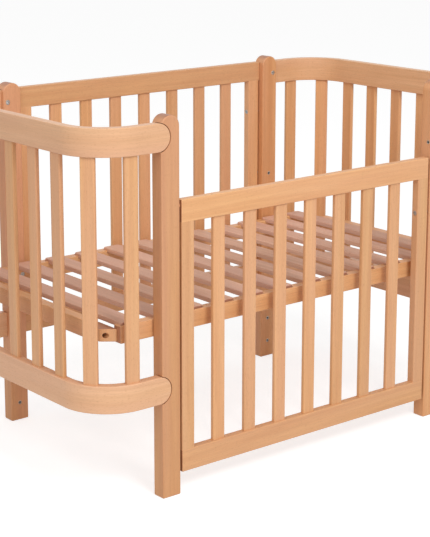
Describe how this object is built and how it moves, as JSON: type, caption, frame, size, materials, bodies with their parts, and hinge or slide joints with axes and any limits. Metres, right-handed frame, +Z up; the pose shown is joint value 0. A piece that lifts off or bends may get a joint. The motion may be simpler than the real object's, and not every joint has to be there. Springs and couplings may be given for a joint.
{
  "type": "crib",
  "caption": "Solid beech crib with bent round ends, a drop side that slides up and down, and a height-adjustable slatted base.",
  "frame": {"origin": "on the floor under the middle of the crib", "axes": "+X along the crib's length, -Y towards the side that lowers, +Z up"},
  "size_m": [1.255, 0.67, 0.87],
  "materials": {
    "beech": "satin clear lacquer",
    "slat_beech": "planed, thin clear lacquer",
    "steel": "zinc plated",
    "spacer": "turned, unlacquered"
  },
  "bodies": {
    "root": {"back_side_bar_1": "beech", "back_side_bar_2": "beech", "back_side_bar_3": "beech", "back_side_bar_4": "beech", "back_side_bar_5": "beech", "back_side_bar_6": "beech", "back_side_bar_7": "beech", "back_side_bolts": "steel", "back_side_bottom_rail": "beech", "back_side_stile_left": "beech", "back_side_stile_right": "beech", "back_side_top_rail": "beech", "end_rail_bolts": "steel", "left_end_bar_1": "beech", "left_end_bar_2": "beech", "left_end_bar_3": "beech", "left_end_bar_4": "beech", "left_end_bar_5": "beech", "left_end_bar_6": "beech", "left_end_bar_7": "beech", "left_end_bar_8": "beech", "left_end_bar_9": "beech", "left_end_bottom_rail": "beech", "left_end_top_rail": "beech", "post_back_left": "beech", "post_back_right": "beech", "post_front_left": "beech", "post_front_right": "beech", "right_end_bar_1": "beech", "right_end_bar_2": "beech", "right_end_bar_3": "beech", "right_end_bar_4": "beech", "right_end_bar_5": "beech", "right_end_bar_6": "beech", "right_end_bar_7": "beech", "right_end_bar_8": "beech", "right_end_bar_9": "beech", "right_end_bottom_rail": "beech", "right_end_top_rail": "beech", "threaded_inserts": "steel"},
    "front_side": {"front_side_bar_1": "beech", "front_side_bar_2": "beech", "front_side_bar_3": "beech", "front_side_bar_4": "beech", "front_side_bar_5": "beech", "front_side_bar_6": "beech", "front_side_bar_7": "beech", "front_side_bolts": "steel", "front_side_bottom_rail": "beech", "front_side_spacers": "spacer", "front_side_stile_left": "beech", "front_side_stile_right": "beech", "front_side_top_rail": "beech"},
    "slatted_base": {"base_back_rail": "beech", "base_bolts": "steel", "base_corner_blocks": "beech", "base_front_rail": "beech", "base_left_rail": "beech", "base_right_rail": "beech", "base_slats": "slat_beech"}
  },
  "joints": [
    {"name": "front_side_drop", "type": "slide", "parent": "root", "child": "front_side", "axis": [0, 0, 1], "range_m": [0, 0.175]},
    {"name": "base_level", "type": "slide", "parent": "root", "child": "slatted_base", "axis": [0, 0, 1], "range_m": [-0.278, 0.148]}
  ]
}
